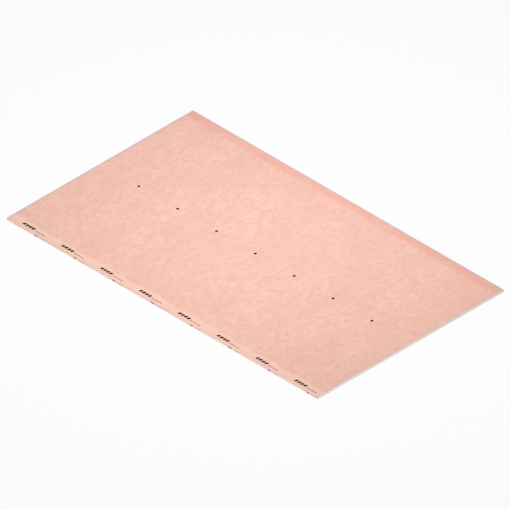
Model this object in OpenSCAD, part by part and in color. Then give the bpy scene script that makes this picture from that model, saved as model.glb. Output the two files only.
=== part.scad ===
// Drywall sheet: a gypsum board bound in paper, with tapered long edges and square-cut ends.
// It lies flat with its face up. X runs along the sheet, Y across it, and Z up through its thickness.
// The origin is at the middle of the back.

/* [Sheet] */
// Length along the paper-bound long sides
sheet_length = 2000; // [600:10:3600]
// Width from one long side to the other
sheet_width = 1200; // [400:10:1250]
// Thickness of the flat middle
sheet_thickness = 12.5; // [9.5:0.5:25]

/* [Tapered long edges] */
// Width of the sloping strip along each long side
taper_width = 50; // [30:1:80]
// How far the face drops across that strip
taper_depth = 1.5; // [0.6:0.1:2.5]
// Radius at which the paper folds round a long side, at the face and at the back
fold_radius = 1.5; // [0.5:0.1:3]

/* [Hidden] */
half_width = sheet_width / 2;
edge_height = sheet_thickness - taper_depth;
taper_angle = atan2(taper_depth, taper_width);

// Centre line of each fold, set in from the long side so that the fold is tangent to the faces it joins
fold_y = half_width - fold_radius;
back_fold_z = fold_radius;
face_fold_z = edge_height + fold_radius * (tan(taper_angle) - 1 / cos(taper_angle));

// Where the face fold runs out into the taper, a hair inside the fold so that the two meet in one clean edge
foot_radius = fold_radius - 0.002;
taper_foot = [fold_y + foot_radius * sin(taper_angle), face_fold_z + foot_radius * cos(taper_angle)];
taper_head = [half_width - taper_width, sheet_thickness];

// Fine enough for a smooth fold
$fn = 48;

// Corners of one long side, from the back up to the flat of the face
side_corners = [
    [fold_y, 0],
    [half_width, back_fold_z],
    [half_width, face_fold_z],
    taper_foot,
    taper_head
];
// The same corners on the other long side, from the face down to the back
other_side_corners = [for (i = [len(side_corners) - 1 : -1 : 0]) [-side_corners[i][0], side_corners[i][1]]];

// The cross-section: both long sides, the flat face and the back between them, and the paper's four folds.
module section() {
    polygon(concat(side_corners, other_side_corners));
    for (side = [-1, 1], fold_z = [back_fold_z, face_fold_z])
        translate([side * fold_y, fold_z])
            circle(r = fold_radius);
}

// The section carried along the sheet, from one cut end to the other.
module drywall_sheet() {
    color([0.965, 0.773, 0.71])
        rotate([90, 0, 90])
            linear_extrude(height = sheet_length, center = true)
                section();
}

drywall_sheet();
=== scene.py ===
"""A drywall sheet lying flat, face up: pink paper folded round a gypsum core.

It is seen from a corner in parallel view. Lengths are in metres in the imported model's frame: X runs along
the sheet, Y across it, and Z up through its thickness.
"""
import math

import bpy
import numpy as np
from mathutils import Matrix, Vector


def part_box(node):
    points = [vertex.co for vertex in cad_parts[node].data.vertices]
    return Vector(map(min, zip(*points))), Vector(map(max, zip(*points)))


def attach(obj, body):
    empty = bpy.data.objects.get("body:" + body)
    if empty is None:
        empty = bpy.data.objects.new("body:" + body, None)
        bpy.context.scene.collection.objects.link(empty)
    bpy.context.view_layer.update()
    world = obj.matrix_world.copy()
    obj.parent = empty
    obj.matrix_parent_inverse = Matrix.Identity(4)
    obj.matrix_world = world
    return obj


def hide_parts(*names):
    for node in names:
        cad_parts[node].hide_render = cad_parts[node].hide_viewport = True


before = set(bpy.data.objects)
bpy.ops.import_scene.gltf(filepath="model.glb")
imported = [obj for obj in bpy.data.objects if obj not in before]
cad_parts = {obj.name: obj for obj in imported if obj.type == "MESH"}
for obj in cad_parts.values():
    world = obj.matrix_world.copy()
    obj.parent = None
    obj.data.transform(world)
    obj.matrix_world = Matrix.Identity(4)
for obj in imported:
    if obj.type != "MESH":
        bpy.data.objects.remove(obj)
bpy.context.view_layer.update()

MM = 0.001
SHEET = "drywall_sheet"

# The sheet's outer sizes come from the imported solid
SHEET_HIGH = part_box(SHEET)[1]
HALF_LENGTH = SHEET_HIGH.x
HALF_WIDTH = SHEET_HIGH.y
THICKNESS = SHEET_HIGH.z

# Tapered long edges
TAPER_WIDTH = 50 * MM
TAPER_DEPTH = 1.5 * MM
TAPER_SLOPE = TAPER_DEPTH / TAPER_WIDTH
TAPER_ANGLE = math.atan(TAPER_SLOPE)
TAPER_HEAD = HALF_WIDTH - TAPER_WIDTH
TAPER_BLEND = 12 * MM
FOLD_RADIUS = 1.5 * MM
FOLD_Y = HALF_WIDTH - FOLD_RADIUS
BACK_FOLD_Z = FOLD_RADIUS
FACE_FOLD_Z = THICKNESS - TAPER_DEPTH + FOLD_RADIUS * (TAPER_SLOPE - 1 / math.cos(TAPER_ANGLE))

# Papers: the face paper's lap on the back dips inwards and runs under the edge of the back paper
PAPER = 0.4 * MM
LAP_SEEN = 18 * MM
LAP_DIP = 4 * MM
LAP_HIDDEN = 12 * MM
GLUE = 0.02 * MM
BACK_PAPER_HALF = HALF_WIDTH - LAP_SEEN

# Points on each run of the papers' paths
FACE_POINTS = 138
BLEND_POINTS = 9
TAPER_POINTS = 12
FOLD_POINTS = 11
SIDE_POINTS = 7
LAP_POINTS = 6
DIP_POINTS = 9
HIDDEN_POINTS = 4
BACK_POINTS = 241

# Places along the papers: some at set distances from each cut end, and an even run between them
END_STATIONS = np.array([0, 1, 3, 8, 20]) * MM
EVEN_STATIONS = 24
EVEN_INSET = 60 * MM

# Frayed cut edges of the papers
FRAY = 0.25 * MM
FRAY_PITCH = 4.5 * MM
FACE_FRAY_SEED = 3
BACK_FRAY_SEED = 5

# Cut ends of the gypsum: how far they lie behind the papers' ends, and the grid that each is drawn on
CUT_SETBACK = 0.22 * MM
CUT_COLUMNS = 640
CUT_ROWS = 20
FAR_CUT_SEED = 11
NEAR_CUT_SEED = 31

# Relief of a cut: its grain and its drag lines, each with a depth and a size across and up, and its pits
GRAIN_DEPTH = 0.09 * MM
GRAIN_SIZE = (1.6 * MM, 1.2 * MM)
DRAG_DEPTH = 0.08 * MM
DRAG_SIZE = (22 * MM, 1.0 * MM)
PITS = 420
PIT_MARGIN = 1 * MM
PIT_RADIUS_IN_MM = (0.8, 2.1)
PIT_DEPTH_TO_RADIUS = (0.15, 0.35)

# The core between its cut ends: the shares of the length that hold points
CORE_STATIONS = np.array([0, 0.004, 0.25, 0.5, 0.75, 0.996, 1])

# Points of the core are placed in whole steps of this length, so that shared ones can be merged
CORE_STEP = 1e-7
CORE_DECIMALS = 7
# How near to the core's edge a point counts as on it
EDGE_SLACK = 1e-6

# The UV map that a piece's colours are laid out on, from 0 to 1 both ways
BAKE_MAP = "OFBake"
MAP_MARGIN = 0.01

# A paper on its map: rows for its outside, inside and closing edge, and columns for its two cut edges
PAPER_MAP_WIDTH = 0.94
OUTSIDE_MAP_HEIGHT = 0.89
INSIDE_MAP_ROWS = (0.91, 0.95)
CLOSING_MAP_ROW = 0.96
FAR_EDGE_COLUMNS = np.array([0.96, 0.97])
NEAR_EDGE_COLUMNS = np.array([0.98, 0.99])
EDGE_MAP_HEIGHT = 0.98

# The core on its map: each cut end in strips over half of the height, and a column for each long side
CUT_STRIPS = 8
STRIP_MAP_FILL = 0.9
CUT_MAP_WIDTH = 0.88
CUT_MAP_HEIGHT = 0.48
FAR_CUT_MAP_LOW = 0.01
NEAR_CUT_MAP_LOW = 0.51
TOP_MAP_LOW = 0.90
UNDER_MAP_LOW = 0.925
FAR_SIDE_MAP_LOW = 0.95
NEAR_SIDE_MAP_LOW = 0.975
LONG_MAP_WIDTH = 0.02

# Faces that meet at more than this angle make a sharp edge
SHARP_ANGLE = math.radians(40)

# Printed marks
MARK_PITCH = 250 * MM
MARK_END_GAP = 1 * MM
DOT_RADIUS = 7 * MM
DOT_CORNERS = 32
BAR_CORNERS = 20
CIRCLE_POWER = 2
BAR_POWER = 9
INK_PROUD = 0.04 * MM
INK_SUNK = 0.02 * MM

# Painted light along the near taper and painted shade along the far taper: how far from its long side each
# begins and is full, how far it wanders, and how strong it is
NEAR_TAPER_LIGHT_BAND = (58 * MM, 38 * MM)
FAR_TAPER_SHADE_BAND = (70 * MM, 34 * MM)
TAPER_PAINT_WANDER = 40 * MM
NEAR_TAPER_LIGHT_STRENGTH = 0.8
FAR_TAPER_SHADE_STRENGTH = (0.45, 0.85)

# Strength of the papers' hairs
HAIR_STRENGTH = 0.35

# Grey strips along the outline of the face, and painted light at the foot of each long side: their widths,
# the heights between which the first fade out down a long side, and how strong they are
RIM_GREY_WIDTH = 22 * MM
RIM_GREY_HEIGHTS = (5 * MM, 11 * MM)
FOOT_LIGHT_HEIGHT = 13 * MM
NEAR_END_GREY = 0.49
FAR_END_GREY = 0.73
FAR_SIDE_GREY = 0.69
NEAR_SIDE_GREY = 0.3
FOOT_PAINTED_LIGHT_STRENGTH = 0.6

# Floor and world
FLOOR_REACH = 30.0
FLOOR_DROP = 0.05 * MM
FLOOR_GREY = 0.88
FLOOR_PLAIN_WHITE = 0.9
WORLD_LIGHT = 0.52
WORLD_SEEN = 0.955

# Camera: the width that it sees, its distance, and the sheet's shift in the picture, in pixels right and up
VIEW_WIDTH = 2.321
VIEW_DISTANCE = 6
VIEW_FAR_LIMIT = 100
PICTURE_PIXELS = 510
SHIFT_RIGHT = 0.35
SHIFT_UP = 1.5


def eased_noise(across, up, seed):
    """Value noise: a random number from -1 to 1 at each whole point of a grid, eased both ways between."""
    column = np.floor(across).astype(int)
    row = np.floor(up).astype(int)
    column -= column.min()
    row -= row.min()
    table = np.random.default_rng(seed).uniform(-1, 1, (column.max() + 2, row.max() + 2))
    part_across = across - np.floor(across)
    part_up = up - np.floor(up)
    ease_across = part_across ** 2 * (3 - 2 * part_across)
    ease_up = part_up ** 2 * (3 - 2 * part_up)
    lower = table[column, row] * (1 - ease_across) + table[column + 1, row] * ease_across
    upper = table[column, row + 1] * (1 - ease_across) + table[column + 1, row + 1] * ease_across
    return lower * (1 - ease_up) + upper * ease_up


def joined(*runs):
    """Runs of points end to end, each given without the point that it shares with the run before it."""
    return np.concatenate([runs[0]] + [run[1:] for run in runs[1:]])


def arc(centre_y, centre_z, radius, start, end, points):
    """Points on a circle: centre plus radius times the cosine and sine of an even run of angles."""
    angle = np.linspace(start, end, points)
    return np.stack([centre_y + radius * np.cos(angle), centre_z + radius * np.sin(angle)], axis=1)


def face_paper_half():
    """Half of the face paper's outside, from the middle of the face round a long side to its lap.

    The flat runs into the taper by a parabola that is level at its start and has the taper's slope at its
    end. The taper is a straight line, each fold is an arc tangent to its neighbours, and the lap on the back
    dips inwards by an eased step, just before the edge of the back paper, to pass under it.
    """
    blend_start = TAPER_HEAD - TAPER_BLEND / 2
    blend_y = np.linspace(blend_start, blend_start + TAPER_BLEND, BLEND_POINTS)
    blend_z = THICKNESS - TAPER_SLOPE / (2 * TAPER_BLEND) * (blend_y - blend_start) ** 2
    blend = np.stack([blend_y, blend_z], axis=1)
    face_fold = arc(FOLD_Y, FACE_FOLD_Z, FOLD_RADIUS, math.pi / 2 - TAPER_ANGLE, 0, FOLD_POINTS)
    back_fold = arc(FOLD_Y, BACK_FOLD_Z, FOLD_RADIUS, 0, -math.pi / 2, FOLD_POINTS)
    step = np.linspace(0, 1, DIP_POINTS)
    dip_y = BACK_PAPER_HALF + LAP_DIP * (1 - step)
    dip_z = (PAPER + GLUE) * step ** 2 * (3 - 2 * step)
    dip = np.stack([dip_y, dip_z], axis=1)
    lap_end = dip[-1] - [LAP_HIDDEN, 0]
    return joined(
        np.linspace([0, THICKNESS], blend[0], FACE_POINTS),
        blend,
        np.linspace(blend[-1], face_fold[0], TAPER_POINTS),
        face_fold,
        np.linspace(face_fold[-1], back_fold[0], SIDE_POINTS),
        back_fold,
        np.linspace(back_fold[-1], dip[0], LAP_POINTS),
        dip,
        np.linspace(dip[-1], lap_end, HIDDEN_POINTS),
    )


def whole(half):
    """A half path and its mirror image, from the end on the -Y side to the end on the +Y side."""
    other = half[:0:-1] * [-1, 1]
    return np.concatenate([other, half])


def back_paper_path():
    """The back paper's outside: a level line across the back, between the laps of the face paper."""
    y = np.linspace(BACK_PAPER_HALF, -BACK_PAPER_HALF, BACK_POINTS)
    return np.stack([y, np.zeros_like(y)], axis=1)


def inside(path, depth):
    """The path moved inwards by a depth, along its normal: its direction of travel turned a quarter."""
    travel = np.gradient(path, axis=0)
    travel /= np.linalg.norm(travel, axis=1, keepdims=True)
    normal = np.stack([-travel[:, 1], travel[:, 0]], axis=1)
    return path - normal * depth


def cells(grid):
    """The four corners in turn of each cell of a grid, whatever each point of the grid holds."""
    corners = [grid[:-1, :-1], grid[1:, :-1], grid[1:, 1:], grid[:-1, 1:]]
    return np.stack(corners, axis=2).reshape(-1, 4, *grid.shape[2:])


def map_grid(rows, columns):
    """Places on the bake map for a grid: rows run over the map's width and columns over its height."""
    return np.stack(np.broadcast_arrays(rows[:, None], columns), axis=-1)


def sewn(grids):
    """The faces of several grids and their corners' places on the bake map.

    Each grid is an array of point numbers, an array of places on the map, and whether its faces are turned
    over.
    """
    turn = {False: slice(None), True: slice(None, None, -1)}
    faces = [cells(number)[:, turn[flipped]] for number, _, flipped in grids]
    places = [cells(place)[:, turn[flipped]] for _, place, flipped in grids]
    return np.concatenate(faces), np.concatenate(places)


def place_mesh(name, points, faces, material, map_places=None):
    """Puts arrays of points and faces into a mesh object at the origin, and ties it to the sheet's body."""
    mesh = bpy.data.meshes.new(name)
    mesh.from_pydata(points.tolist(), [], faces)
    mesh.materials.append(material)
    mesh.shade_smooth()
    mesh.set_sharp_from_angle(angle=SHARP_ANGLE)
    if map_places is not None:
        mesh.uv_layers.new(name=BAKE_MAP).uv.foreach_set("vector", map_places.ravel())
    piece = bpy.data.objects.new(name, mesh)
    bpy.context.scene.collection.objects.link(piece)
    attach(piece, "root")
    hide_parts(SHEET)


def stations():
    """Places along the sheet: close together at the two cut ends and even between them."""
    near_end = HALF_LENGTH - END_STATIONS
    even = np.linspace(-HALF_LENGTH + EVEN_INSET, HALF_LENGTH - EVEN_INSET, EVEN_STATIONS)
    return np.concatenate([-near_end, even, near_end[::-1]])


def paper_strip(name, outside, seed, material):
    """A paper of even thickness: its outside path and the same path moved inwards, carried along the sheet.

    Both paths make one closed loop. Each place along the sheet holds a copy of the loop, quads join each
    copy to the next, and a row of quads between the two paths closes each cut end. The cut ends are moved
    along X by eased noise, as paper is never cut quite clean. On the bake map the outside takes nearly all
    of the room.
    """
    count = len(outside)
    loop = np.concatenate([outside, inside(outside, PAPER)[::-1]])
    along = stations()
    points = np.empty((len(along), 2 * count, 3))
    points[:, :, 0] = along[:, None]
    points[:, :, 1:] = loop
    steps = np.linalg.norm(np.diff(outside, axis=0), axis=1)
    travel = np.concatenate([[0], np.cumsum(steps)])
    for end, place in enumerate((0, -1)):
        fray = FRAY * eased_noise(travel / FRAY_PITCH, np.full(count, 0.5), seed + end)
        points[place, :, 0] += np.concatenate([fray, fray[::-1]])
    number = np.arange(points[:, :, 0].size).reshape(points.shape[:2])
    closed = np.concatenate([number, number[:, :1]], axis=1)
    far_edge = np.stack([number[0, :count], number[0, :count - 1:-1]])
    near_edge = np.stack([number[-1, :count], number[-1, :count - 1:-1]])
    along_share = (along + HALF_LENGTH) / (2 * HALF_LENGTH)
    path_share = travel / travel[-1]
    outside_rows = MAP_MARGIN + OUTSIDE_MAP_HEIGHT * path_share
    loop_rows = np.concatenate([outside_rows, np.linspace(*INSIDE_MAP_ROWS, count), [CLOSING_MAP_ROW]])
    edge_rows = MAP_MARGIN + EDGE_MAP_HEIGHT * path_share
    faces, map_places = sewn([
        (closed, map_grid(MAP_MARGIN + PAPER_MAP_WIDTH * along_share, loop_rows), False),
        (far_edge, map_grid(FAR_EDGE_COLUMNS, edge_rows), True),
        (near_edge, map_grid(NEAR_EDGE_COLUMNS, edge_rows), False),
    ])
    place_mesh(name, points.reshape(-1, 3), faces.tolist(), material, map_places)


def cut_depth(across, up, seed):
    """How far the cut gypsum lies behind the end of the papers.

    An even setback, plus fine grain, plus shallow drag lines along the cut, plus round pits. A pit's depth
    falls from its middle to its rim as one minus the square of the distance over its radius.
    """
    depth = CUT_SETBACK + GRAIN_DEPTH * eased_noise(across / GRAIN_SIZE[0], up / GRAIN_SIZE[1], seed)
    depth += DRAG_DEPTH * eased_noise(across / DRAG_SIZE[0], up / DRAG_SIZE[1], seed + 1)
    random = np.random.default_rng(seed + 2)
    pit_across = random.uniform(-HALF_WIDTH, HALF_WIDTH, PITS)
    pit_up = random.uniform(PIT_MARGIN, THICKNESS - PIT_MARGIN, PITS)
    pit_radius = random.uniform(*PIT_RADIUS_IN_MM, PITS) * MM
    pit_depth = pit_radius * random.uniform(*PIT_DEPTH_TO_RADIUS, PITS)
    square = (across[..., None] - pit_across) ** 2 + (up[..., None] - pit_up) ** 2
    hollow = pit_depth * np.clip(1 - square / pit_radius ** 2, 0, None)
    return depth + hollow.max(axis=-1)


def core_section(outside):
    """The core's section: places across it, and the height of its bottom and of its top at each of them.

    Its outline is the face paper's path moved inwards, closed by a level line along the back paper. The
    places are even over the middle, and fall on the outline's own points in the folds and at the ends of the
    laps.
    """
    core = inside(outside, PAPER)
    half = core[len(core) // 2:]
    edge = HALF_WIDTH - PAPER
    widest = int(np.argmax(half[:, 0] > edge - EDGE_SLACK))
    top = half[:widest + 1]
    under = half[half[:, 1] < THICKNESS / 2]
    under = under[np.argsort(under[:, 0])]
    lap_end = under[0, 0]
    under = np.concatenate([[[lap_end - GLUE, PAPER]], under])
    fold = np.concatenate([top[-FOLD_POINTS:, 0], under[-FOLD_POINTS:, 0]])
    even = np.linspace(0, fold.min(), CUT_COLUMNS, endpoint=False)
    half_across = np.unique(np.round(np.concatenate([even, under[:2, 0], fold]), CORE_DECIMALS))
    across = np.concatenate([-half_across[:0:-1], half_across])
    across[[0, -1]] = [-edge, edge]
    top_z = np.interp(np.abs(across), top[:, 0], top[:, 1])
    under_z = np.interp(np.abs(across), under[:, 0], under[:, 1])
    return across, under_z, top_z


def gypsum_block(name, outside, material):
    """The gypsum between the papers: a box of parameters (along, across, up) bent to the section.

    Across runs over Y, up runs from the bottom of the section to its top at that Y, and along runs from one
    cut end to the other, each end set back by the depth of its cut. The sides of that box are grids, and
    points that two grids share are merged. On the bake map the two cut ends take nearly all of the room,
    each in strips laid one above the other, so that its grain is as fine across as it is up.
    """
    across, under_z, top_z = core_section(outside)
    up = np.linspace(0, 1, CUT_ROWS)
    grid_z = under_z[:, None] + (top_z - under_z)[:, None] * up
    grid_y = np.repeat(across[:, None], CUT_ROWS, axis=1)
    far_x = -HALF_LENGTH + cut_depth(grid_y, grid_z, FAR_CUT_SEED)
    near_x = HALF_LENGTH - cut_depth(grid_y, grid_z, NEAR_CUT_SEED)

    def cut_strips(x, map_low, flipped):
        """One cut end as a row of grids, stacked on its half of the bake map."""
        end_grid = np.stack([x, grid_y, grid_z], axis=-1)
        breaks = np.linspace(0, len(across) - 1, CUT_STRIPS + 1).astype(int)
        strips = []
        for index, (first, last) in enumerate(zip(breaks, breaks[1:])):
            strip = slice(first, last + 1)
            strip_share = (across[strip] - across[first]) / (across[last] - across[first])
            map_rows = map_low + CUT_MAP_HEIGHT / CUT_STRIPS * (index + STRIP_MAP_FILL * up)
            place = map_grid(MAP_MARGIN + CUT_MAP_WIDTH * strip_share, map_rows)
            strips.append((end_grid[strip], place, flipped))
        return strips

    def long_grid(rows, columns, map_low, flipped):
        """Points carried along the sheet from the matching rim of one cut end to that of the other."""
        share = CORE_STATIONS[:, None]
        x = far_x[rows, columns] * (1 - share) + near_x[rows, columns] * share
        y = np.broadcast_to(grid_y[rows, columns], x.shape)
        z = np.broadcast_to(grid_z[rows, columns], x.shape)
        map_rows = np.linspace(MAP_MARGIN, 1 - MAP_MARGIN, x.shape[1])
        place = map_grid(map_low + LONG_MAP_WIDTH * CORE_STATIONS, map_rows)
        return np.stack([x, y, z], axis=-1), place, flipped

    every = slice(None)
    sides = [
        *cut_strips(far_x, FAR_CUT_MAP_LOW, True),
        *cut_strips(near_x, NEAR_CUT_MAP_LOW, False),
        long_grid(every, -1, TOP_MAP_LOW, False),
        long_grid(every, 0, UNDER_MAP_LOW, True),
        long_grid(-1, every, FAR_SIDE_MAP_LOW, True),
        long_grid(0, every, NEAR_SIDE_MAP_LOW, False),
    ]
    points = np.concatenate([grid.reshape(-1, 3) for grid, _, _ in sides])
    whole_steps = np.round(points / CORE_STEP).astype(np.int64)
    kept, merged = np.unique(whole_steps, axis=0, return_inverse=True)
    merged = merged.reshape(-1)
    starts = np.cumsum([0] + [grid[..., 0].size for grid, _, _ in sides])
    numbered = []
    for start, (grid, place, flipped) in zip(starts, sides):
        number = merged[start:start + grid[..., 0].size].reshape(grid.shape[:2])
        numbered.append((number, place, flipped))
    faces, map_places = sewn(numbered)
    place_mesh(name, kept * CORE_STEP, faces.tolist(), material, map_places)


def oval(power, corners):
    """Points of a superellipse one across.

    Each is half the cosine and half the sine of an angle, with both taken to the power of two over the
    given one. A power of 2 makes a circle, and a higher one a squarer shape with rounded corners.
    """
    angle = np.linspace(0, 2 * math.pi, corners, endpoint=False) + math.pi / corners
    round_points = np.stack([np.cos(angle), np.sin(angle)], axis=1)
    return 0.5 * np.sign(round_points) * np.abs(round_points) ** (2 / power)


def ink_patches(outline, middles, along, across, normal):
    """Flat patches of ink: one outline laid at many places, a hair thick so that each is closed.

    A point of a patch is its middle, plus the outline's first number times the along vector, plus the
    second times the across vector. The upper face stands proud of the paper and the lower one is sunk in it,
    along the normal.
    """
    flat = middles[:, None] + outline[:, :1] * along + outline[:, 1:] * across
    layers = np.stack([flat + INK_PROUD * normal, flat - INK_SUNK * normal], axis=1)
    patches, corners = flat.shape[:2]
    number = np.arange(patches * 2 * corners).reshape(patches, 2, corners)
    upper, lower = number[:, 0], number[:, 1]
    rims = np.stack([lower, np.roll(lower, -1, 1), np.roll(upper, -1, 1), upper], axis=-1).reshape(-1, 4)
    faces = upper.tolist() + lower[:, ::-1].tolist() + rims.tolist()
    return layers.reshape(-1, 3), faces


def merged_patches(sets):
    """Several sets of points and faces as one, with each set's numbers moved up past the earlier ones."""
    starts = np.cumsum([0] + [len(points) for points, _ in sets])
    faces = [(np.array(face) + start).tolist() for start, (_, group) in zip(starts, sets) for face in group]
    return np.concatenate([points for points, _ in sets]), faces


def bars(first, count, step, length, width, slant, surface):
    """A row of like bars at each mark along the sheet, on the near taper or on the near long side.

    Each bar is a slanted outline with rounded corners. First is the place of the first bar after a mark, as
    a distance along and a distance across, and step is the distance from one bar to the next.
    """
    marks = np.arange(-HALF_LENGTH, HALF_LENGTH - MARK_END_GAP, MARK_PITCH)
    x = (marks[:, None] + first[0] + step * np.arange(count)).reshape(-1)
    middles = np.zeros((len(x), 3))
    middles[:, 0] = x
    if surface == "taper":
        up = np.array([0, math.cos(TAPER_ANGLE), math.sin(TAPER_ANGLE)])
        normal = np.array([0, -math.sin(TAPER_ANGLE), math.cos(TAPER_ANGLE)])
        middles[:, 1] = -HALF_WIDTH + first[1]
        middles[:, 2] = THICKNESS - TAPER_DEPTH + TAPER_SLOPE * first[1]
    else:
        up = np.array([0, 0, 1.0])
        normal = np.array([0, -1.0, 0])
        middles[:, 1] = -HALF_WIDTH
        middles[:, 2] = first[1]
    along = np.array([length, 0, 0])
    across = up * width + [slant * width, 0, 0]
    return ink_patches(oval(BAR_POWER, BAR_CORNERS), middles, along, across, normal)


def screw_dots():
    """Round dots on the centre line of the level face, one at each mark."""
    x = np.arange(-HALF_LENGTH + MARK_PITCH, HALF_LENGTH - MARK_END_GAP, MARK_PITCH)
    middles = np.stack([x, np.zeros_like(x), np.full_like(x, THICKNESS)], axis=1)
    along = np.array([2 * DOT_RADIUS, 0, 0])
    across = np.array([0, 2 * DOT_RADIUS, 0])
    return ink_patches(oval(CIRCLE_POWER, DOT_CORNERS), middles, along, across, np.array([0, 0, 1.0]))


def colour(red, green, blue):
    """A colour as written in a picture, from 0 to 255, as the linear values that a shader takes."""
    share = np.array([red, green, blue]) / 255
    linear = np.where(share <= 0.04045, share / 12.92, ((share + 0.055) / 1.055) ** 2.4)
    return (*linear.tolist(), 1.0)


# Colours of the face paper, of the grey along its outline, and of the painted light and shade on it
DEEP_PINK = colour(251, 200, 184)
PALE_PINK = colour(255, 207, 191)
PULP_PINK = colour(238, 186, 170)
# Painted light on the near taper, and painted shade on the far taper
NEAR_TAPER_PAINTED_LIGHT = colour(255, 212, 192)
FAR_TAPER_PAINTED_SHADE = colour(243, 174, 159)
FIBRE_PINK = colour(236, 185, 169)
DARK_PINK_HAIR = colour(214, 156, 141)
PALE_PINK_HAIR = colour(255, 226, 215)
PINK_FLECK = colour(212, 158, 144)
# Grey along the face's outline
RIM_GREY = colour(200, 194, 193)
# Painted light that makes the foot of each long side paler
FOOT_PAINTED_LIGHT = colour(240, 226, 219)
CUT_PINK = colour(214, 172, 158)

# Colours of the gypsum, with painted shade in its pores
DEEP_GYPSUM = colour(240, 223, 215)
PALE_GYPSUM = colour(248, 233, 226)
GRAIN_GREY = colour(212, 198, 191)
PORE_PAINTED_SHADE = colour(190, 174, 167)

# Colours of the back paper
DEEP_GREY = colour(190, 182, 169)
PALE_GREY = colour(203, 195, 182)
FIBRE_GREY = colour(168, 159, 146)
DARK_GREY_HAIR = colour(122, 112, 100)
PALE_GREY_HAIR = colour(226, 220, 209)
GREY_FLECK = colour(128, 118, 106)
CUT_GREY = colour(176, 167, 154)

# Colours of the ink
FULL_INK = colour(26, 7, 5)
THIN_INK = colour(86, 50, 42)

WHITE = (1, 1, 1, 1)


def feed(tree, socket, value):
    """Links a socket to another, or sets it to a plain value."""
    if isinstance(value, bpy.types.NodeSocket):
        tree.links.new(value, socket)
    else:
        socket.default_value = value


def add_node(tree, kind, settings=None, **inputs):
    """A shader node with its settings made and each named input fed. An underscore stands for a space."""
    made = tree.nodes.new(kind)
    for name, value in (settings or {}).items():
        setattr(made, name, value)
    for name, value in inputs.items():
        feed(tree, made.inputs[name.replace("_", " ")], value)
    return made


def blended(tree, factor, first, second):
    """Two colours blended by a factor, each a socket or a plain colour."""
    made = add_node(tree, "ShaderNodeMix", {"data_type": "RGBA"})
    # The node has sockets for every kind of value, and those for colours are the numbers below
    for index, value in ((0, factor), (6, first), (7, second)):
        feed(tree, made.inputs[index], value)
    return made.outputs[2]


def arithmetic(tree, operation, *values):
    """The result of one step of arithmetic on sockets and plain numbers."""
    made = add_node(tree, "ShaderNodeMath", {"operation": operation})
    for socket, value in zip(made.inputs, values):
        feed(tree, socket, value)
    return made.outputs[0]


def product(tree, first, second):
    """One value times another."""
    return arithmetic(tree, "MULTIPLY", first, second)


def ranged(tree, value, low, high, to_low=0.0, to_high=1.0):
    """A value eased from one range to another and held at its ends."""
    made = add_node(tree, "ShaderNodeMapRange", {"interpolation_type": "SMOOTHSTEP"}, Value=value,
                    From_Min=low, From_Max=high, To_Min=to_low, To_Max=to_high)
    return made.outputs["Result"]


def noise(tree, place, scale, detail, stretch=1.0, roughness=0.5, turn=0.0):
    """Soft noise over a place, with features about one over scale metres across.

    They are drawn out by the stretch, along X turned by an angle.
    """
    moved = add_node(tree, "ShaderNodeMapping", {"vector_type": "TEXTURE"}, Vector=place,
                     Rotation=(0, 0, turn), Scale=(stretch, 1, 1))
    made = add_node(tree, "ShaderNodeTexNoise", Vector=moved.outputs["Vector"], Scale=scale, Detail=detail,
                    Roughness=roughness)
    return made.outputs["Fac"]


def hairs(tree, place, scale, turn, width):
    """Short curved hairs of pulp: lines along which a drawn-out noise is near its middle, in patches."""
    drawn = noise(tree, place, scale, detail=1, stretch=4, turn=turn)
    off_middle = arithmetic(tree, "ABSOLUTE", arithmetic(tree, "SUBTRACT", drawn, 0.5))
    line = ranged(tree, off_middle, 0, width, 1, 0)
    patches = ranged(tree, noise(tree, place, scale / 2, detail=1, stretch=2, turn=-turn), 0.5, 0.58)
    return product(tree, line, patches)


def new_material(name, specular):
    """A node material with one Principled shader of a given gloss, and the sheet's own coordinates."""
    material = bpy.data.materials.new(name)
    material.use_nodes = True
    tree = material.node_tree
    shader = tree.nodes["Principled BSDF"]
    shader.inputs["Specular IOR Level"].default_value = specular
    place = tree.nodes.new("ShaderNodeTexCoord").outputs["Object"]
    return material, tree, shader, place


def give_finish(tree, shader, base, roughness):
    """Puts a colour and a roughness on the shader, both from the material's own texture."""
    tree.links.new(base, shader.inputs["Base Color"])
    tree.links.new(roughness, shader.inputs["Roughness"])


def give_relief(tree, shader, height, strength, distance):
    """Fine relief from a height, as a bump on the shader's normal."""
    bump = add_node(tree, "ShaderNodeBump", Height=height, Strength=strength, Distance=distance)
    tree.links.new(bump.outputs["Normal"], shader.inputs["Normal"])


def cut_edge(tree):
    """One on faces that look along the sheet, which are the papers' cut edges, and nothing elsewhere."""
    normal = tree.nodes.new("ShaderNodeNewGeometry").outputs["True Normal"]
    along = add_node(tree, "ShaderNodeSeparateXYZ", Vector=normal).outputs["X"]
    return ranged(tree, arithmetic(tree, "ABSOLUTE", along), 0.6, 0.9)


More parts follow.
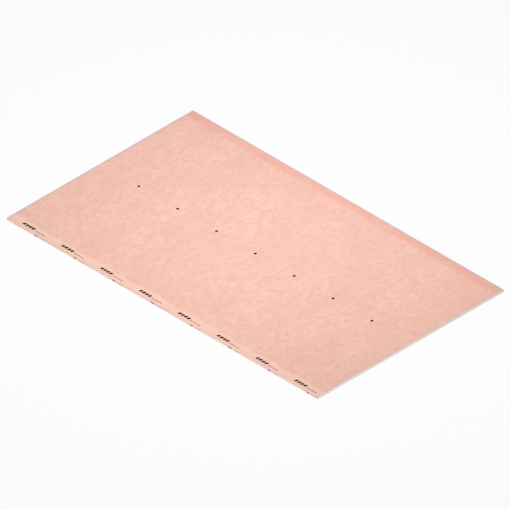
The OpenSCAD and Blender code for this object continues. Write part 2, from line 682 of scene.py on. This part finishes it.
def with_painted_taper_light_and_shade(tree, place, y, pink):
    """The pink with painted light along the near taper, and blotchy painted shade that makes the far taper
    redder.
    """
    wander = arithmetic(tree, "SUBTRACT", noise(tree, place, scale=14, detail=3), 0.5)
    painted_band_y = arithmetic(tree, "MULTIPLY_ADD", wander, TAPER_PAINT_WANDER, y)
    near_taper_light = ranged(tree, painted_band_y, NEAR_TAPER_LIGHT_BAND[0] - HALF_WIDTH, NEAR_TAPER_LIGHT_BAND[1] - HALF_WIDTH)
    far_taper_shade = ranged(tree, painted_band_y, HALF_WIDTH - FAR_TAPER_SHADE_BAND[0], HALF_WIDTH - FAR_TAPER_SHADE_BAND[1])
    # Painted light makes the near taper paler
    pink = blended(tree, near_taper_light, pink, blended(tree, NEAR_TAPER_LIGHT_STRENGTH, pink, NEAR_TAPER_PAINTED_LIGHT))
    # Painted shade makes the far taper redder, in blotches
    blotches = noise(tree, place, scale=13, detail=3, stretch=2, roughness=0.7)
    far_shade_strength = ranged(tree, blotches, 0.35, 0.65, *FAR_TAPER_SHADE_STRENGTH)
    return blended(tree, far_taper_shade, pink, blended(tree, far_shade_strength, pink, FAR_TAPER_PAINTED_SHADE))


def with_grey_rims_and_foot_light(tree, position, patchiness, pink):
    """The pink greyer along the face's outline, and paler at the foot of each long side with painted light.
    """
    x, y, z = position
    face_patchiness = product(tree, patchiness, ranged(tree, z, *RIM_GREY_HEIGHTS))
    rims = (
        (x, HALF_LENGTH, NEAR_END_GREY, patchiness),
        (x, -HALF_LENGTH, FAR_END_GREY, patchiness),
        (y, HALF_WIDTH, FAR_SIDE_GREY, face_patchiness),
        (y, -HALF_WIDTH, NEAR_SIDE_GREY, face_patchiness),
    )
    # Greyer towards each rim of the face, most at the far end and far side
    for distance, rim, most, speckle in rims:
        rim_share = ranged(tree, distance, rim - math.copysign(RIM_GREY_WIDTH, rim), rim, 0, most)
        pink = blended(tree, product(tree, rim_share, speckle), pink, RIM_GREY)
    # Painted light: the foot of each long side is made paler, against the shade near the floor
    foot_light = product(tree, ranged(tree, z, FOOT_LIGHT_HEIGHT, 0, 0, FOOT_PAINTED_LIGHT_STRENGTH), patchiness)
    off_centre = arithmetic(tree, "ABSOLUTE", y)
    on_side = ranged(tree, off_centre, FOLD_Y - FOLD_RADIUS, FOLD_Y + FOLD_RADIUS / 2)
    return blended(tree, product(tree, foot_light, on_side), pink, FOOT_PAINTED_LIGHT)


def face_paper_material():
    """Pink face paper: pulp, hairs and flecks, painted light and shade on the tapers, grey rims, painted
    light at the feet.
    """
    material, tree, shader, place = new_material("face_paper", specular=0.25)
    position = add_node(tree, "ShaderNodeSeparateXYZ", Vector=place).outputs
    clouds = noise(tree, place, scale=2.4, detail=3, stretch=0.5)
    pulp = noise(tree, place, scale=28, detail=6, stretch=0.6, roughness=0.86)
    fibres = noise(tree, place, scale=520, detail=2, stretch=4)
    flecks = noise(tree, place, scale=330, detail=1, stretch=1.6)
    dark_hairs = hairs(tree, place, scale=340, turn=0.25, width=0.03)
    pale_hairs = hairs(tree, place, scale=300, turn=-0.3, width=0.03)
    patch_noise = noise(tree, place, scale=170, detail=5, roughness=0.8)
    patchiness = ranged(tree, patch_noise, 0.4, 0.6, 0.3, 1.1)
    pink = blended(tree, ranged(tree, clouds, 0.38, 0.62), DEEP_PINK, PALE_PINK)
    pink = blended(tree, ranged(tree, pulp, 0.34, 0.66), pink, PULP_PINK)
    # Painted light on the near taper and painted shade on the far taper
    pink = with_painted_taper_light_and_shade(tree, place, position["Y"], pink)
    pink = blended(tree, ranged(tree, fibres, 0.35, 0.75, 0, 0.25), pink, FIBRE_PINK)
    pink = blended(tree, product(tree, dark_hairs, HAIR_STRENGTH), pink, DARK_PINK_HAIR)
    pink = blended(tree, product(tree, pale_hairs, HAIR_STRENGTH), pink, PALE_PINK_HAIR)
    pink = blended(tree, ranged(tree, flecks, 0.68, 0.76, 0, 0.45), pink, PINK_FLECK)
    # A greyer outline, and painted light at the foot of each long side
    pink = with_grey_rims_and_foot_light(tree, position, patchiness, pink)
    pink = blended(tree, cut_edge(tree), pink, CUT_PINK)
    give_finish(tree, shader, pink, ranged(tree, product(tree, pulp, patchiness), 0.1, 0.6, 0.72, 0.9))
    give_relief(tree, shader, arithmetic(tree, "ADD", fibres, pale_hairs), strength=0.25, distance=0.1 * MM)
    return material


def gypsum_material():
    """Cut gypsum: pale warm grey, chalky, with grains and the small round pores of a foamed core, in painted
    shade.
    """
    material, tree, shader, place = new_material("gypsum_core", specular=0.2)
    grain = noise(tree, place, scale=900, detail=3)
    patches = noise(tree, place, scale=60, detail=2)
    bubbles = add_node(tree, "ShaderNodeTexVoronoi", Vector=place, Scale=900.0)
    bubble_size = add_node(tree, "ShaderNodeSeparateXYZ", Vector=bubbles.outputs["Color"]).outputs["X"]
    rim = arithmetic(tree, "MULTIPLY_ADD", bubble_size, -0.4, bubbles.outputs["Distance"])
    pores = ranged(tree, rim, -0.25, 0, 1, 0)
    grey = blended(tree, ranged(tree, patches, 0.3, 0.7), DEEP_GYPSUM, PALE_GYPSUM)
    grey = blended(tree, ranged(tree, grain, 0.45, 0.8, 0, 0.4), grey, GRAIN_GREY)
    # Painted shade in the pores
    grey = blended(tree, product(tree, pores, 0.6), grey, PORE_PAINTED_SHADE)
    give_finish(tree, shader, grey, ranged(tree, grain, 0.3, 0.7, 0.84, 0.97))
    give_relief(tree, shader, arithmetic(tree, "SUBTRACT", grain, pores), strength=0.6, distance=0.25 * MM)
    return material


def back_paper_material():
    """Back paper: warm grey recycled pulp with soft clouds, darker and paler hairs, and flecks."""
    material, tree, shader, place = new_material("back_paper", specular=0.2)
    clouds = noise(tree, place, scale=9, detail=3, stretch=1.5)
    fibres = noise(tree, place, scale=480, detail=2, stretch=5)
    flecks = noise(tree, place, scale=210, detail=1, stretch=2)
    dark_hairs = hairs(tree, place, scale=320, turn=-0.2, width=0.03)
    pale_hairs = hairs(tree, place, scale=280, turn=0.35, width=0.03)
    grey = blended(tree, ranged(tree, clouds, 0.3, 0.7), DEEP_GREY, PALE_GREY)
    grey = blended(tree, ranged(tree, fibres, 0.4, 0.75, 0, 0.35), grey, FIBRE_GREY)
    grey = blended(tree, product(tree, dark_hairs, HAIR_STRENGTH), grey, DARK_GREY_HAIR)
    grey = blended(tree, product(tree, pale_hairs, HAIR_STRENGTH), grey, PALE_GREY_HAIR)
    grey = blended(tree, ranged(tree, flecks, 0.7, 0.8, 0, 0.4), grey, GREY_FLECK)
    grey = blended(tree, cut_edge(tree), grey, CUT_GREY)
    give_finish(tree, shader, grey, ranged(tree, fibres, 0.35, 0.7, 0.78, 0.92))
    give_relief(tree, shader, arithmetic(tree, "ADD", fibres, pale_hairs), strength=0.25, distance=0.1 * MM)
    return material


def ink_material():
    """Printing ink: near black and dull, thinner where the paper's fibres take less of it."""
    material, tree, shader, place = new_material("print_ink", specular=0.04)
    cover = noise(tree, place, scale=900, detail=2, stretch=3)
    shade = blended(tree, ranged(tree, cover, 0.5, 0.85, 0, 0.4), FULL_INK, THIN_INK)
    give_finish(tree, shader, shade, ranged(tree, cover, 0.3, 0.7, 0.82, 0.96))
    return material


def floor_material():
    """A floor that the camera sees mostly as plain white, with the sheet's shadow kept in the rest."""
    material = bpy.data.materials.new("floor")
    material.use_nodes = True
    tree = material.node_tree
    tree.nodes.clear()
    path = tree.nodes.new("ShaderNodeLightPath")
    seen = path.outputs["Is Camera Ray"]
    for other in ("Is Glossy Ray", "Is Transmission Ray"):
        seen = arithmetic(tree, "MAXIMUM", seen, path.outputs[other])
    share = product(tree, seen, FLOOR_PLAIN_WHITE)
    matte = add_node(tree, "ShaderNodeBsdfDiffuse", Color=(FLOOR_GREY, FLOOR_GREY, FLOOR_GREY, 1))
    white = add_node(tree, "ShaderNodeEmission", Color=WHITE, Strength=1.0)
    mix = tree.nodes.new("ShaderNodeMixShader")
    for socket, value in zip(mix.inputs, (share, matte.outputs[0], white.outputs[0])):
        feed(tree, socket, value)
    add_node(tree, "ShaderNodeOutputMaterial", Surface=mix.outputs[0])
    return material


def make_floor():
    """A level square just under the sheet, of one face."""
    corners = np.array([[-1, -1], [1, -1], [1, 1], [-1, 1]]) * FLOOR_REACH
    points = np.column_stack([corners, np.full(4, -FLOOR_DROP)])
    mesh = bpy.data.meshes.new("floor")
    mesh.from_pydata(points.tolist(), [], [[0, 1, 2, 3]])
    mesh.materials.append(floor_material())
    floor = bpy.data.objects.new("floor", mesh)
    bpy.context.scene.collection.objects.link(floor)


def make_world():
    """Even soft light from all round, seen by the camera as the white of the floor far from the sheet."""
    world = bpy.data.worlds.new("studio")
    bpy.context.scene.world = world
    world.use_nodes = True
    tree = world.node_tree
    tree.nodes.clear()
    seen = tree.nodes.new("ShaderNodeLightPath").outputs["Is Camera Ray"]
    strength = add_node(tree, "ShaderNodeMapRange", Value=seen, To_Min=WORLD_LIGHT, To_Max=WORLD_SEEN)
    light = add_node(tree, "ShaderNodeBackground", Color=WHITE, Strength=strength.outputs["Result"])
    add_node(tree, "ShaderNodeOutputWorld", Surface=light.outputs[0])


def aimed(thing, place, aim):
    """Puts a lamp or camera at a place and turns it to face a point."""
    thing.location = place
    thing.rotation_mode = "QUATERNION"
    thing.rotation_quaternion = Vector((np.array(aim) - place).tolist()).to_track_quat("-Z", "Y")
    bpy.context.scene.collection.objects.link(thing)


def make_lamp(name, place, aim, size, power):
    """A large soft lamp at a place, facing a point."""
    data = bpy.data.lights.new(name, "AREA")
    data.shape = "SQUARE"
    data.size = size
    data.energy = power
    lamp = bpy.data.objects.new(name, data)
    lamp.visible_camera = False
    aimed(lamp, place, aim)


def make_camera():
    """A parallel camera on the diagonal of a cube, so that all three axes are shortened alike."""
    data = bpy.data.cameras.new("camera")
    data.type = "ORTHO"
    data.ortho_scale = VIEW_WIDTH
    data.clip_end = VIEW_FAR_LIMIT
    camera = bpy.data.objects.new("camera", data)
    back = np.array([1, -1, 1]) / math.sqrt(3)
    right = np.array([1, 1, 0]) / math.sqrt(2)
    up = np.cross(back, right)
    pixel = data.ortho_scale / PICTURE_PIXELS
    aim = np.array([0, 0, THICKNESS]) - SHIFT_RIGHT * pixel * right - SHIFT_UP * pixel * up
    aimed(camera, aim + back * VIEW_DISTANCE, aim)
    bpy.context.scene.camera = camera


# The sheet
face_path = whole(face_paper_half())
pink_paper = face_paper_material()
grey_paper = back_paper_material()
ink = ink_material()
paper_strip("face_paper", face_path, FACE_FRAY_SEED, pink_paper)
gypsum_block("gypsum_core", face_path, gypsum_material())
paper_strip("back_paper", back_paper_path(), BACK_FRAY_SEED, grey_paper)

# The print: dots for screws on the centre line, and plain blocks and dashes along the near long edge
dot_points, dot_faces = screw_dots()
place_mesh("screw_marks", dot_points, dot_faces, ink)
slanted_blocks = bars(first=(90 * MM, 25 * MM), count=4, step=19 * MM, length=14 * MM, width=15 * MM,
                      slant=0.45, surface="taper")
taper_dashes = bars(first=(168 * MM, 20 * MM), count=5, step=13 * MM, length=8 * MM, width=4.5 * MM,
                    slant=0, surface="taper")
side_block = bars(first=(188 * MM, 5.5 * MM), count=1, step=0, length=20 * MM, width=4.5 * MM,
                  slant=0, surface="side")
side_dashes = bars(first=(214 * MM, 5 * MM), count=4, step=9 * MM, length=5 * MM, width=2.6 * MM,
                   slant=0, surface="side")
edge_points, edge_faces = merged_patches([slanted_blocks, taper_dashes, side_block, side_dashes])
place_mesh("edge_marks", edge_points, edge_faces, ink)

# The floor, the light and the camera
make_floor()
make_world()
make_lamp("overhead_lamp", place=(-0.11, 0.18, 1.9), aim=(-0.11, 0.18, 0), size=1.6, power=22.6)
make_lamp("fill_lamp", place=(7.2, -7.4, 1.75), aim=(0, 0, 0), size=2.6, power=370)
make_camera()
bpy.context.scene.view_settings.view_transform = "Standard"
